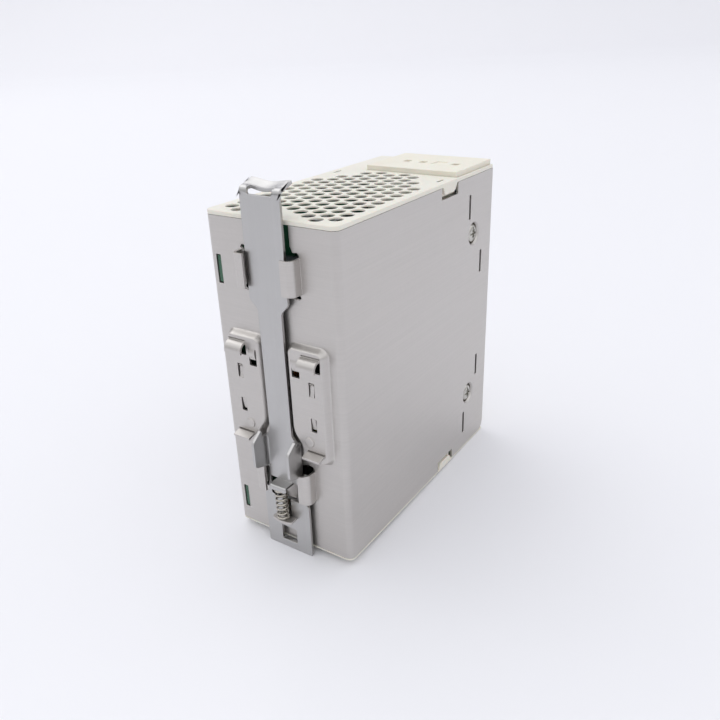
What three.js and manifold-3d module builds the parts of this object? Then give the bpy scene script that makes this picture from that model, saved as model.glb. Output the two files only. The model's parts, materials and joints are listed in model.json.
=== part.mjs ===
// A power supply for a 35 mm mounting rail: a folded steel case with a sprung rail clip
// on its back, perforated plastic covers, screw terminals and the converter inside.
// Millimetres. While it is drawn, x = 0 is the middle of the width, y = 0 the outside of
// the rear wall (y grows towards the front) and z = 0 the lower edge of the steel case.
// The group at the end moves all of it onto the part's own origin.

import * as THREE from 'three';
import { mergeVertices } from 'three/addons/utils/BufferGeometryUtils.js';
import Module from 'manifold-3d';

const wasm = await Module();
wasm.setup();

// ---------------------------------------------------------------- driving dimensions

const WIDTH = 56;
const DEPTH = 117;
const HEIGHT = 128;
const SHEET = 1;
const HALF = WIDTH / 2;
const INNER = HALF - SHEET;
const CORNER = 2.8;
const GAP = 0.3;

const RAIL_MIDDLE = 64.3;
const RAIL_WIDTH = 35;
const RAIL_TOP = RAIL_MIDDLE + RAIL_WIDTH / 2;
const RAIL_BOTTOM = RAIL_MIDDLE - RAIL_WIDTH / 2;

const PAD = { height: 2.9, slope: 1.9, inner: 7.2, flare: 10.9, outer: 20.8, top: 85.4, bottom: 42.5 };
const HOOK = { inner: 12.6, outer: 21, top: RAIL_TOP + 2, reach: 3.2, drop: 4.6 };
const SHELF = { inner: 12.6, outer: 20.7, top: RAIL_BOTTOM - 0.8, reach: 3.7, droop: 0.7 };
const CONTACT = { inner: 8, outer: 11.4, top: 81.6, tip: 77.3, bottom: 74.9 };

const CLIP = { sheet: 1.2, back: 1.4, top: 138.1, bottom: -3.8, wide: 8.4, narrow: 5.15, foot: 10.7 };
const CLIP_FACE = CLIP.back + CLIP.sheet;
const WINDOW = { half: 7.15, bottom: 20.2, top: 28.5 };
const WING = { inner: 6.4, outer: 7.6, tip: 9.5, notch: 4.4 };
const TRAVEL = 5;

const GUIDE = { inner: 8, root: 12.4, face: 3.9, upper: [105.1, 117.5], lower: [22.2, 34] };
const SPRING = { radius: 2.1, wire: 0.8, turns: 6.6, y: -(CLIP_FACE + 2.7) };
const LEDGE = { top: 12.6, half: 4.6, neck: 1.6, reach: 5 };
const SPRING_TAB = { half: 3.8, reach: 4.9 };

const COVER = { thick: 1.5, gap: 0.15, skirt: 3.8 };
const COVER_TOP = HEIGHT + COVER.gap + COVER.thick;
const HOLE = { radius: 2.55, column: 5.55, row: 6.27, sides: 8 };
const SNAP = { from: 70.1, to: 84, depth: 4.6 };

const PANEL = { back: 113.8, front: 116.8, half: INNER - GAP };
const FLAP = { half: 14, bottom: 56.2, height: 28, thick: 1.6, pin: 0.7 };
const POLE = 7.62;
const ENTRY = { half: 2.2, cage: 2.9 };
const OUTPUT = { left: -15.2, right: 26.8, back: 84.3, bottom: 109.5, top: COVER_TOP + 2, first: -4.1 };
const INPUT = { half: 13, back: 86, bottom: -1, top: 22.5 };

const SCREWS = [{ y: 99.8, z: 103.4 }, { y: 99.3, z: 27.1 }];
const DIMPLE = { rim: 5.2, floor: 4.1, depth: 1.7 };
const BOARD = { x: -24.4, thick: 1.6 };
const SPREADER = { x: 21.9, thick: 3 };
const ON_BOARD = BOARD.x + BOARD.thick + GAP;

// ---------------------------------------------------------------- materials

function material(color, roughness, metalness) {
  return new THREE.MeshStandardMaterial({ color, roughness, metalness });
}

const STEEL = material(0xb4b1ae, 0.42, 0.9);
const STAINLESS = material(0xb9bcbe, 0.22, 1);
const NICKEL = material(0xc9c2b4, 0.2, 1);
const IVORY = material(0xeeeadc, 0.55, 0);
const GREEN_BOARD = material(0x1f6144, 0.5, 0);
const FILM = material(0xe8e6da, 0.7, 0);
const ALUMINIUM = material(0xc3c6c9, 0.4, 0.9);
const FERRITE = material(0x2c2c2e, 0.7, 0.1);
const TAPE = material(0xd8b13c, 0.6, 0);
const COPPER = material(0xb4652f, 0.35, 0.8);
const SLEEVE = material(0x23262b, 0.45, 0);
const BLACK = material(0x1b1b1c, 0.5, 0);
const GREY_PAD = material(0x8d96a0, 0.9, 0);
const YELLOW = material(0xd9c24a, 0.5, 0);
const CERAMIC = material(0xe6e0d2, 0.5, 0);
const BLUE = material(0x2f5f9e, 0.5, 0);
const LIGHT_PIPE = material(0xc9e6c4, 0.2, 0);

// ---------------------------------------------------------------- shape helpers

// Where a drawn outline's right, up and depth directions point, for a depth along each axis.
const LAY = {
  x: new THREE.Matrix4().makeBasis(axis(0, 1, 0), axis(0, 0, 1), axis(1, 0, 0)),
  y: new THREE.Matrix4().makeBasis(axis(1, 0, 0), axis(0, 0, 1), axis(0, -1, 0)),
  z: new THREE.Matrix4(),
};

function axis(x, y, z) {
  return new THREE.Vector3(x, y, z);
}

function polygon(points) {
  return new THREE.Shape(points.map(([u, v]) => new THREE.Vector2(u, v)));
}

function rect(u0, u1, v0, v1, r = 0) {
  const [a, b] = [Math.min(u0, u1), Math.max(u0, u1)];
  const [c, d] = [Math.min(v0, v1), Math.max(v0, v1)];
  if (r === 0) return polygon([[a, c], [b, c], [b, d], [a, d]]);
  const shape = new THREE.Shape();
  shape.absarc(b - r, c + r, r, -Math.PI / 2, 0, false);
  shape.absarc(b - r, d - r, r, 0, Math.PI / 2, false);
  shape.absarc(a + r, d - r, r, Math.PI / 2, Math.PI, false);
  shape.absarc(a + r, c + r, r, Math.PI, Math.PI * 1.5, false);
  return shape;
}

function ring(u, v, r, sides) {
  const turn = i => (Math.PI * (2 * i + 1)) / sides;
  return Array.from({ length: sides }, (_, i) => [u + r * Math.cos(turn(i)), v + r * Math.sin(turn(i))]);
}

// A solid with a drawn outline and straight sides along one axis.
function prism(shape, along, from, to, segments = 4) {
  const geometry = new THREE.ExtrudeGeometry(shape, {
    depth: to - from, bevelEnabled: false, curveSegments: segments, steps: 1,
  });
  geometry.applyMatrix4(LAY[along]);
  const start = along === 'y' ? to : from;
  geometry.translate(along === 'x' ? start : 0, along === 'y' ? start : 0, along === 'z' ? start : 0);
  return toSolid(geometry);
}

function box(x0, x1, y0, y1, z0, z1) {
  return prism(rect(x0, x1, y0, y1), 'z', Math.min(z0, z1), Math.max(z0, z1));
}

// A round rod or disc along an axis; u and v are its centre in the two other directions.
function rod(along, u, v, r, from, to, sides = 12) {
  return prism(polygon(ring(u, v, r, sides)), along, from, to);
}

// A closed solid through a list of rings with the same number of points.
function loft(rings) {
  const count = rings[0].length;
  const flat = rings[0].map(p => flatten(p, rings[0]));
  const caps = THREE.ShapeUtils.triangulateShape(flat, []).map(inRingOrder);
  const index = [];
  for (let i = 0; i + 1 < rings.length; i++) {
    for (let j = 0; j < count; j++) {
      const [a, b] = [i * count + j, i * count + ((j + 1) % count)];
      index.push(a, b, b + count, a, b + count, a + count);
    }
  }
  const last = (rings.length - 1) * count;
  for (const [a, b, c] of caps) index.push(c, b, a, last + a, last + b, last + c);
  const geometry = new THREE.BufferGeometry();
  const points = rings.flat(2);
  geometry.setAttribute('position', new THREE.Float32BufferAttribute(points, 3));
  geometry.setIndex(signedVolume(points, index) > 0 ? index : index.reverse());
  return toSolid(geometry);
}

function inRingOrder([a, b, c]) {
  return (a < b) + (b < c) + (c < a) === 2 ? [a, b, c] : [c, b, a];
}

// Drops the one coordinate that a flat ring's points share.
function flatten(point, all) {
  const same = [0, 1, 2].find(k => all.every(p => Math.abs(p[k] - all[0][k]) < 1e-9));
  const [u, v] = [0, 1, 2].filter(k => k !== same);
  return new THREE.Vector2(point[u], point[v]);
}

function signedVolume(points, index) {
  const at = i => new THREE.Vector3().fromArray(points, 3 * i);
  let volume = 0;
  for (let i = 0; i < index.length; i += 3) {
    volume += at(index[i]).dot(at(index[i + 1]).cross(at(index[i + 2]))) / 6;
  }
  return volume;
}

// Moves an outline's points outwards by d, or inwards where d is negative.
function offset(points, d) {
  const n = points.length;
  const area = points.reduce((s, [u, v], i) => s + u * points[(i + 1) % n][1] - v * points[(i + 1) % n][0], 0);
  return points.map((p, i) => shifted(points[(i + n - 1) % n], p, points[(i + 1) % n], Math.sign(area) * d));
}

// The mitred point at distance d to the right of the path a, b, c.
function shifted(a, b, c, d) {
  const before = direction(a, b) ?? direction(b, c);
  const after = direction(b, c) ?? before;
  const normal = [before[1] + after[1], -(before[0] + after[0])];
  const length = Math.hypot(...normal);
  const mitre = d / (length / 2);
  return [b[0] + (normal[0] / length) * mitre, b[1] + (normal[1] / length) * mitre];
}

function direction(a, b) {
  const length = Math.hypot(b[0] - a[0], b[1] - a[1]);
  return length < 1e-9 ? null : [(b[0] - a[0]) / length, (b[1] - a[1]) / length];
}

// The section of a bent sheet: one face follows the path and the sheet lies to its right.
function bentSheet(path, thickness) {
  const other = path.map((p, i) => shifted(path[Math.max(i - 1, 0)], p, path[Math.min(i + 1, path.length - 1)],
    thickness));
  return [...path, ...other.reverse()];
}

function toSolid(geometry) {
  const bare = geometry.clone();
  bare.deleteAttribute('normal');
  bare.deleteAttribute('uv');
  const merged = mergeVertices(bare, 1e-5);
  return new wasm.Manifold(new wasm.Mesh({
    numProp: 3,
    vertProperties: merged.attributes.position.array,
    triVerts: new Uint32Array(merged.index.array),
  }));
}

function toGeometry(solid) {
  const mesh = solid.getMesh();
  const geometry = new THREE.BufferGeometry();
  geometry.setAttribute('position', new THREE.BufferAttribute(mesh.vertProperties, 3));
  geometry.setIndex(new THREE.BufferAttribute(mesh.triVerts, 1));
  geometry.computeVertexNormals();
  return geometry;
}

function join(first, ...rest) {
  return rest.reduce((whole, next) => whole.add(next), first);
}

function cut(first, ...rest) {
  return rest.reduce((whole, next) => whole.subtract(next), first);
}

const model = new THREE.Group();

function addPart(name, solid, finish) {
  const geometry = solid instanceof THREE.BufferGeometry ? solid : toGeometry(solid);
  const mesh = new THREE.Mesh(geometry, finish);
  mesh.name = name;
  model.add(mesh);
}

// ---------------------------------------------------------------- steel case

// The U of rear wall and two side walls, seen from above.
function wrapOutline() {
  const inside = CORNER - SHEET;
  const shape = new THREE.Shape();
  shape.moveTo(-HALF, DEPTH);
  shape.lineTo(-HALF, CORNER);
  shape.absarc(-HALF + CORNER, CORNER, CORNER, Math.PI, Math.PI * 1.5, false);
  shape.absarc(HALF - CORNER, CORNER, CORNER, -Math.PI / 2, 0, false);
  shape.lineTo(HALF, DEPTH);
  shape.lineTo(INNER, DEPTH);
  shape.absarc(HALF - CORNER, CORNER, inside, 0, -Math.PI / 2, true);
  shape.absarc(-HALF + CORNER, CORNER, inside, -Math.PI / 2, -Math.PI, true);
  shape.lineTo(-INNER, DEPTH);
  return shape;
}

// Side view of the walls, with the lower front corner rounded off.
function sideOutline() {
  const round = 4.6;
  const margin = 20;
  const shape = new THREE.Shape();
  shape.moveTo(-margin, 0);
  shape.lineTo(DEPTH - round, 0);
  shape.absarc(DEPTH - round, round, round, -Math.PI / 2, 0, false);
  shape.lineTo(DEPTH, HEIGHT);
  shape.lineTo(-margin, HEIGHT);
  return shape;
}

// The flat top of one pressed pad; its lower inner corner flares away from the clip's wings.
function padOutline(side) {
  const r = 1.6;
  const shape = new THREE.Shape();
  shape.moveTo(PAD.inner, 55);
  shape.lineTo(PAD.inner, PAD.top - r);
  shape.quadraticCurveTo(PAD.inner, PAD.top, PAD.inner + r, PAD.top);
  shape.lineTo(PAD.outer - r, PAD.top);
  shape.quadraticCurveTo(PAD.outer, PAD.top, PAD.outer, PAD.top - r);
  shape.lineTo(PAD.outer, PAD.bottom + r);
  shape.quadraticCurveTo(PAD.outer, PAD.bottom, PAD.outer - r, PAD.bottom);
  shape.lineTo(PAD.flare, PAD.bottom);
  shape.lineTo(PAD.flare, 45.5);
  shape.bezierCurveTo(PAD.flare, 50, PAD.inner, 50.5, PAD.inner, 55);
  const points = shape.getPoints(3).map(p => [side * p.x, p.y]);
  const [first, end] = [points[0], points.at(-1)];
  if (Math.hypot(first[0] - end[0], first[1] - end[1]) < 1e-6) points.pop();
  return points;
}

// A pad with S-shaped flanks; level is how far its foot stands behind the outer face.
function padSolid(side, level) {
  const outline = padOutline(side);
  const steps = 4;
  const rings = [ringAt(outline, PAD.slope, level + 0.4)];
  for (let i = 0; i <= steps; i++) {
    const t = i / steps;
    rings.push(ringAt(outline, PAD.slope * (1 - t), level - PAD.height * t * t * (3 - 2 * t)));
  }
  return loft(rings);
}

function ringAt(outline, d, y) {
  return offset(outline, d).map(([x, z]) => [x, y, z]);
}

// A curled hook that the top edge of the rail slides up behind.
function railHook(side) {
  const base = PAD.height;
  const path = [
    [-(base - 0.9), HOOK.top],
    [-(base + 0.7), HOOK.top],
    [-(base + 1.8), HOOK.top - 0.5],
    [-(base + 2.7), HOOK.top - 1.3],
    [-(base + HOOK.reach - 0.1), HOOK.top - 2.3],
    [-(base + HOOK.reach), HOOK.top - HOOK.drop],
  ];
  return sideSheet(path, -SHEET, side, HOOK.inner, HOOK.outer);
}

// A sheet section drawn in y and z, with its width from one x to another on one side.
function sideSheet(path, thickness, side, inner, outer) {
  const [from, to] = [side * inner, side * outer].sort((a, b) => a - b);
  return prism(polygon(bentSheet(path, thickness)), 'x', from, to);
}

function railShelf(side) {
  const base = PAD.height;
  const path = [
    [-(base - 0.9), SHELF.top],
    [-(base + 0.4), SHELF.top],
    [-(base + SHELF.reach), SHELF.top - SHELF.droop],
  ];
  return sideSheet(path, -SHEET, side, SHELF.inner, SHELF.outer);
}

// The earth contact: a tongue that bulges slightly out of a hole beside the hook.
function contactTongue(side) {
  const base = PAD.height;
  const path = [
    [-(base - 0.1), CONTACT.top + 0.4],
    [-(base + 0.35), CONTACT.top - 0.6],
    [-(base + 0.55), CONTACT.top - 1.6],
    [-(base + 0.4), CONTACT.top - 2.9],
    [-(base - 0.2), CONTACT.tip],
  ];
  return sideSheet(path, -0.8, side, CONTACT.inner + GAP, CONTACT.outer - GAP);
}

const SMALL_SLOT = { inner: 15.1, outer: 17.6, upper: [68.8, 74.4], lower: [54.7, 60.2] };

function smallTongues(side) {
  const base = PAD.height;
  const { inner, outer, upper, lower } = SMALL_SLOT;
  const rising = [
    [-(base - 0.1), upper[0] - 0.4],
    [-(base - 0.5), upper[0] + 1.6],
    [-(base - 0.6), upper[1] - 1.4],
    [-(base - 0.1), upper[1] - 0.7],
  ];
  const falling = [
    [-(base - 0.1), lower[1] + 0.4],
    [-(base - 0.3), lower[1] - 1.4],
    [-(base - 0.8), lower[0] + 0.8],
  ];
  return join(
    sideSheet(rising, 0.7, side, inner + 0.25, outer - 0.5),
    sideSheet(falling, -0.7, side, inner + 0.25, outer - 0.5),
  );
}

// Through holes and grooves in one pad.
function padCuts(side) {
  const deep = [-(PAD.height + 1), 2];
  const through = (inner, outer, low, high) => prism(rect(side * inner, side * outer, low, high), 'y', ...deep);
  const groove = (inner, outer, low, high) =>
    prism(rect(side * inner, side * outer, low, high), 'y', -(PAD.height + 1), -(PAD.height - 0.7));
  const { inner, outer, upper, lower } = SMALL_SLOT;
  return join(
    through(HOOK.inner, HOOK.outer, 78.6, HOOK.top - SHEET),
    through(CONTACT.inner, CONTACT.outer, CONTACT.bottom, CONTACT.top),
    through(inner, outer, ...upper),
    through(inner, outer, ...lower),
    groove(HOOK.inner, HOOK.outer, HOOK.top + 0.15, HOOK.top + 0.55),
    groove(SHELF.inner, SHELF.outer, SHELF.top, SHELF.top + 0.4),
    rod('y', side * 14, 50, 1.9, -(PAD.height + 1), -(PAD.height - 0.5), 14),
  );
}

// A lanced flap that holds one edge of the sliding clip against the rear wall.
function guideFlap(side, [low, high]) {
  const { inner, root, face } = GUIDE;
  const path = [[root, -0.6], [root - 0.35, 0.5], [root - 0.55, 1.7], [root - 0.65, 2.8],
    [root - 1.1, face - 0.35], [root - 1.9, face], [inner, face]].map(([x, h]) => [side * x, -h]);
  return prism(polygon(bentSheet(path, side * -SHEET)), 'z', low, high);
}

// The spring's lower seat: a T that reaches out of the wall through the clip's slot.
function springLedge() {
  const head = CLIP_FACE + GAP;
  const { half, neck, reach, top } = LEDGE;
  const front = CLIP_FACE + reach;
  const shape = new THREE.Shape();
  shape.moveTo(-neck, 0.5);
  shape.lineTo(-neck, -head);
  shape.lineTo(-half, -head);
  shape.lineTo(-half, -(front - 1.8));
  shape.bezierCurveTo(-half, -front, half, -front, half, -(front - 1.8));
  shape.lineTo(half, -head);
  shape.lineTo(neck, -head);
  shape.lineTo(neck, 0.5);
  return join(
    prism(shape, 'z', top - SHEET, top, 8),
    rod('z', 0, SPRING.y, 1.2, top - 0.2, top + 1.5, 8),
  );
}

// One recess for a screw head in the right wall: pressed inwards, with a hole in its floor.
function dimple({ y, z }) {
  const cone = (rim, floor, x0, x1) => loft([
    ring(y, z, rim, 20).map(([u, v]) => [x0, u, v]),
    ring(y, z, floor, 20).map(([u, v]) => [x1, u, v]),
  ]);
  const { rim, floor, depth } = DIMPLE;
  return {
    bump: cone(rim + 0.2, floor + 0.4, INNER + 0.1, INNER - depth),
    dish: cone(rim, floor, HALF + 0.01, HALF - depth),
    hole: rod('x', y, z, 2.2, HALF - 8, HALF, 12),
  };
}

function caseShell() {
  let body = prism(wrapOutline(), 'z', 0, HEIGHT, 5).intersect(
    prism(sideOutline(), 'x', -HALF - 1, HALF + 1, 6));
  const wall = [-0.5, SHEET + 0.5];
  const rearCut = (x0, x1, z0, z1, r = 0) => prism(rect(x0, x1, z0, z1, r), 'y', ...wall, 3);
  body = cut(body,
    rearCut(-9, 9, 118, HEIGHT + 5),
    rearCut(-8, 8, LEDGE.top, 28),
    rearCut(BOARD.x - 0.3, BOARD.x + BOARD.thick + 0.3, 103.4, 114.1),
    rearCut(BOARD.x - 0.3, BOARD.x + BOARD.thick + 0.3, 6.1, 16.4));
  for (const side of [-1, 1]) {
    body = cut(body,
      rearCut(side * 6.5, side * (GUIDE.root - 0.5), 103, 119.2, 1.1),
      rearCut(side * 6.5, side * (GUIDE.root - 0.5), 20.8, 35.9, 1.1));
    body = body.add(padSolid(side, 0)).subtract(padSolid(side, SHEET));
    body = body.subtract(padCuts(side));
    body = join(body, railHook(side), railShelf(side), contactTongue(side), smallTongues(side),
      guideFlap(side, GUIDE.upper), guideFlap(side, GUIDE.lower));
    const wallX = [side * (HALF - 2), side * (HALF + 1)].sort((a, b) => a - b);
    body = cut(body,
      prism(rect(SNAP.from, SNAP.to, HEIGHT - SNAP.depth, HEIGHT + 1), 'x', ...wallX),
      prism(rect(SNAP.from, SNAP.to, -1, SNAP.depth), 'x', ...wallX));
  }
  // The tongue that hangs behind the clip's window, and two low ribs that the clip slides on.
  body = join(body,
    box(-3.5, 3.5, 0, SHEET, 19.5, 28.5),
    box(-3, 3, -(CLIP.back - GAP), 0.2, 107, 113),
    box(-3, 3, -(CLIP.back - GAP), 0.2, 70, 76),
    springLedge());
  const slots = [[95.4, 110.3, 120.6], [107.4, 84.3, 94.5], [106.9, 33.8, 44.2], [95.1, 7.9, 18.6]];
  for (const [y, low, high] of slots) {
    body = body.subtract(prism(rect(y - 0.85, y + 0.85, low, high), 'x', HALF - 2, HALF + 1));
  }
  for (const place of SCREWS) {
    const { bump, dish, hole } = dimple(place);
    body = body.add(bump).subtract(dish).subtract(hole);
  }
  return body;
}

// ---------------------------------------------------------------- rail clip and spring

function clipOutline() {
  const { wide, narrow, foot, bottom, top } = CLIP;
  const right = [
    [foot - 0.7, bottom], [foot, bottom + 0.7], [foot, 19.3], [wide, 21.6], [wide, 31.3],
    [WING.outer, 32.4], [WING.outer, 46.4], [narrow + 0.9, 48.6], [narrow, 50.6],
    [narrow, 96.6], [narrow + 0.6, 98], [wide - 0.6, 100.2], [wide, 101.6], [wide, top],
  ];
  return [...right, ...right.map(([x, z]) => [-x, z]).reverse()];
}

// One wing: it stands out from the clip, slopes back at the top and hooks over the rail's edge.
function clipWing(side) {
  const { tip, notch } = WING;
  const face = CLIP_FACE;
  const outline = [
    [CLIP.back, 32.6], [face, 33], [tip - 0.9, 34.8], [tip, 35.8], [tip, 45.4], [tip - 0.5, 46.2],
    [notch + 0.6, 49.1], [notch, 49], [notch, RAIL_BOTTOM - GAP], [CLIP.back, RAIL_BOTTOM - GAP],
  ].map(([h, z]) => [-h, z]);
  const [from, to] = [side * WING.inner, side * WING.outer].sort((a, b) => a - b);
  return prism(polygon(outline), 'x', from, to);
}

// The thumb tab: the strip bends back over the cover and is dished across its width.
function thumbTab() {
  const { top, wide, sheet } = CLIP;
  const face = -CLIP_FACE;
  const rings = [];
  const steps = 10;
  for (let i = 0; i <= steps; i++) {
    const x = wide * (2 * i / steps - 1);
    const dish = Math.cos((Math.PI / 2) * (x / wide)) ** 2;
    const path = [
      [face, top - 2], [face, top], [face + 0.35, top + 1], [face + 1.1, top + 1.65],
      [face + 2.2, top + 1.95 - 0.8 * dish], [0.8, top + 2.3 - 1.4 * dish], [2.4, top + 2.8 - 1.3 * dish],
      [4.3, top + 3.5 - 0.9 * dish],
    ];
    rings.push(bentSheet(path, sheet).map(([y, z]) => [x, y, z]));
  }
  return cut(loft(rings), prism(rect(-5.3, 5.3, top - 0.8, top + 6), 'y', face - 1, 0.2));
}

// The spring's upper seat, bent out of the clip's window.
function springTab() {
  const { half, reach } = SPRING_TAB;
  const low = WINDOW.top - CLIP.sheet;
  return join(
    box(-half, half, -(CLIP_FACE + reach), -CLIP.back, low, WINDOW.top),
    rod('z', 0, SPRING.y, 1.2, low - 1.5, low + 0.2, 8),
  );
}

function railClip() {
  const through = [-CLIP_FACE - 1, -CLIP.back + 1];
  const hole = (half, low, high, r) => prism(rect(-half, half, low, high, r), 'y', ...through, 2);
  const sheet = prism(polygon(clipOutline()), 'y', -CLIP_FACE, -CLIP.back);
  const cutSheet = cut(sheet,
    hole(WINDOW.half, WINDOW.bottom, WINDOW.top, 0.4),
    hole(2, LEDGE.top - SHEET - GAP, WINDOW.bottom + 1, 0.4),
    hole(3.65, -0.5, 6.3, 0.4),
    hole(5.3, CLIP.top - 0.8, CLIP.top + 1, 0));
  return join(cutSheet, clipWing(-1), clipWing(1), thumbTab(), springTab());
}

// A helix whose end turns close up; steps is the number of points for each turn.
function clipSpring() {
  const { radius, wire, turns, y } = SPRING;
  const low = LEDGE.top + wire / 2 + 0.15;
  const high = WINDOW.top - CLIP.sheet - wire / 2 - 0.15;
  const dead = 0.9 * 1.15;
  const points = [];
  const steps = 10;
  for (let i = 0; i <= turns * steps; i++) {
    const turn = i / steps;
    const middle = (turn - 1) / (turns - 2);
    let z = low + dead * wire + (high - low - 2 * dead * wire) * middle;
    if (turn < 1) z = low + dead * wire * turn;
    if (turn > turns - 1) z = high - dead * wire * (turns - turn);
    const angle = turn * 2 * Math.PI;
    points.push(axis(radius * Math.cos(angle), y + radius * Math.sin(angle), z));
  }
  const path = new THREE.CatmullRomCurve3(points);
  return new THREE.ExtrudeGeometry(polygon(ring(0, 0, wire / 2, 6)), {
    steps: points.length - 1, bevelEnabled: false, extrudePath: path,
  });
}

// ---------------------------------------------------------------- plastic covers

// A cover plate seen from above: round rear corners, and a notch for a terminal block in front.
function coverOutline(notchLeft, notchRight, notchBack) {
  const r = CORNER;
  const front = DEPTH - 0.2;
  const shape = new THREE.Shape();
  shape.absarc(-HALF + r, r, r, Math.PI, Math.PI * 1.5, false);
  shape.absarc(HALF - r, r, r, -Math.PI / 2, 0, false);
  for (const [x, y] of [[HALF, front], [notchRight, front], [notchRight, notchBack],
    [notchLeft, notchBack], [notchLeft, front], [-HALF, front]]) shape.lineTo(x, y);
  return shape;
}

// The vent: nine staggered columns, shorter at the sides and behind the rail clip.
function ventHoles() {
  const last = [8, 10, 11, 12, 11, 12, 11, 10, 8];
  const holes = [];
  last.forEach((end, column) => {
    const start = column % 2 === 0 ? 8.3 : 5.1;
    const first = Math.abs(column - 4) <= 1 ? 1 : 0;
    for (let n = first; n <= end; n++) {
      holes.push(ring((column - 4) * HOLE.column, start + n * HOLE.row, HOLE.radius, HOLE.sides));
    }
  });
  return holes;
}

// The wall under a cover that fits inside the case, at its rear and two sides.
function coverSkirt(low, high) {
  const out = INNER - GAP;
  const thick = 1.2;
  return join(
    box(-out + 1.5, out - 1.5, SHEET + GAP, SHEET + GAP + thick, low, high),
    box(-out, -out + thick, 4, 104, low, high),
    box(out - thick, out, 4, 83, low, high),
  );
}

// A snap tongue in a notch of the case's edge; up is 1 on the bottom cover and -1 on the top one.
function snapTongue(side, root, up) {
  const [from, to] = [side * (INNER - GAP - 0.6), side * (HALF - 0.1)].sort((a, b) => a - b);
  const near = root - up * 0.1;
  const shape = new THREE.Shape();
  shape.moveTo(SNAP.from + 1.2, near);
  shape.quadraticCurveTo(SNAP.from + 2.2, root + up * 3, SNAP.from + 5.6, root + up * 3);
  shape.lineTo(SNAP.to - 5, root + up * 3);
  shape.quadraticCurveTo(SNAP.to - 2, root + up * 2.6, SNAP.to - 0.8, near);
  return prism(shape, 'x', from, to, 3);
}

function topCover() {
  const low = HEIGHT + COVER.gap;
  const outline = coverOutline(OUTPUT.left - GAP, OUTPUT.right + GAP, OUTPUT.back - GAP);
  outline.holes = ventHoles().map(points => new THREE.Path(points.map(([x, y]) => new THREE.Vector2(x, y))));
  const behindClip = box(-9.2, 9.2, 0, 3, low - 6, low + 1);
  const skirt = coverSkirt(HEIGHT - COVER.skirt, low + 0.2).subtract(behindClip);
  const body = join(prism(outline, 'z', low, COVER_TOP, 4), skirt, snapTongue(-1, low, -1), snapTongue(1, low, -1));
  return cut(body,
    box(-24.9, -23.7, 73, 78, low - 1, COVER_TOP + 1),
    box(23.7, 24.9, 73, 78, low - 1, COVER_TOP + 1));
}

function bottomCover() {
  const high = -COVER.gap;
  const outline = coverOutline(-INPUT.half - GAP, INPUT.half + GAP, INPUT.back - GAP);
  let body = prism(outline, 'z', INPUT.bottom, high, 4);
  for (let column = 0; column < 4; column++) {
    for (let row = 0; row < 9; row++) {
      const x = (column - 1.5) * 12.4;
      const y = 12 + row * 8.4;
      body = body.subtract(box(x - 5, x + 5, y - 1.5, y + 1.5, INPUT.bottom - 1, 0));
    }
  }
  return join(body, coverSkirt(high - 0.2, COVER.skirt), snapTongue(-1, high, 1), snapTongue(1, high, 1));
}

// ---------------------------------------------------------------- front panel and flap

const HINGE = { y: PANEL.front - FLAP.thick / 2, z: FLAP.bottom + FLAP.thick / 2 };
const TRIM = { x: -6, z: 71 };
const MODE = { x: 6, z: 71, travel: 4 };
const LIGHTS = [-8, -1];
const LIGHT_Z = 94;

function frontPanel() {
  const { half, back, front } = PANEL;
  const low = 0.3;
  const high = HEIGHT - GAP;
  const plate = prism(rect(-half, half, low, high), 'y', back, front);
  const walls = join(
    box(-half, -half + 1.2, 107, back + 0.2, 5, 122),
    box(half - 1.2, half, 108, back + 0.2, 26, 102),
  );
  const flapTop = FLAP.bottom + FLAP.height;
  return cut(plate.add(walls),
    box(OUTPUT.left - GAP, half + 1, back - 9, front + 1, OUTPUT.bottom - GAP, high + 1),
    box(-INPUT.half - GAP, INPUT.half + GAP, back - 1, front + 1, low - 1, INPUT.top + GAP),
    prism(rect(-half - 1, -half + 2.2, low - 1, 2.4), 'y', back - 1, front + 1),
    prism(rect(half - 2.2, half + 1, low - 1, 2.4), 'y', back - 1, front + 1),
    box(-FLAP.half - GAP, FLAP.half + GAP, front - FLAP.thick - GAP, front + 1,
      FLAP.bottom - GAP, flapTop + GAP),
    box(-12, 12, back - 1, front + 1, FLAP.bottom + 4, flapTop - 2),
    rod('y', 0, flapTop + 1.5, 5, front - 0.9, front + 1, 12),
    rod('x', HINGE.y, HINGE.z, FLAP.pin + 0.25, -FLAP.half - 2.2, FLAP.half + 2.2, 10),
    ...LIGHTS.map(x => rod('y', x, LIGHT_Z, 1.8, back - 1, front + 1, 12)),
  );
}

function frontFlap() {
  const { half, bottom, height, thick, pin } = FLAP;
  const outline = new THREE.Shape();
  outline.absarc(HINGE.y, HINGE.z, thick / 2, Math.PI, 2 * Math.PI, false);
  outline.lineTo(HINGE.y + thick / 2, bottom + height);
  outline.lineTo(HINGE.y - thick / 2, bottom + height);
  return join(
    prism(outline, 'x', -half, half, 8),
    rod('x', HINGE.y, HINGE.z, pin, -half - 1.8, half + 1.8, 10),
  );
}

function trimPot() {
  const { x, z } = TRIM;
  const body = cut(box(x - 3.4, x + 3.4, 106.9, 111, z - 3.4, z + 3.4), rod('y', x, z, 2.6, 108.4, 112, 16));
  const rotor = cut(rod('y', x, z, 2.3, 108.7, 112.2, 16),
    box(x - 1.8, x + 1.8, 111.4, 113, z - 0.4, z + 0.4),
    box(x - 0.4, x + 0.4, 111.4, 113, z - 1.8, z + 1.8));
  addPart('trim_pot_body', body, BLUE);
  addPart('trim_pot_rotor', rotor, IVORY);
}

function modeSwitch() {
  const { x, z, travel } = MODE;
  const body = cut(box(x - 3, x + 3, 106.9, 110.4, z - 6.5, z + 6.5),
    box(x - 1.7, x + 1.7, 108.2, 111, z - 4.5, z + 4.5));
  const knob = box(x - 1.4, x + 1.4, 108.5, 112.4, z - travel / 2 - 1.6, z - travel / 2 + 1.6);
  addPart('mode_switch_body', body, SLEEVE);
  addPart('mode_switch_knob', knob, IVORY);
}

// ---------------------------------------------------------------- terminals

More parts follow.
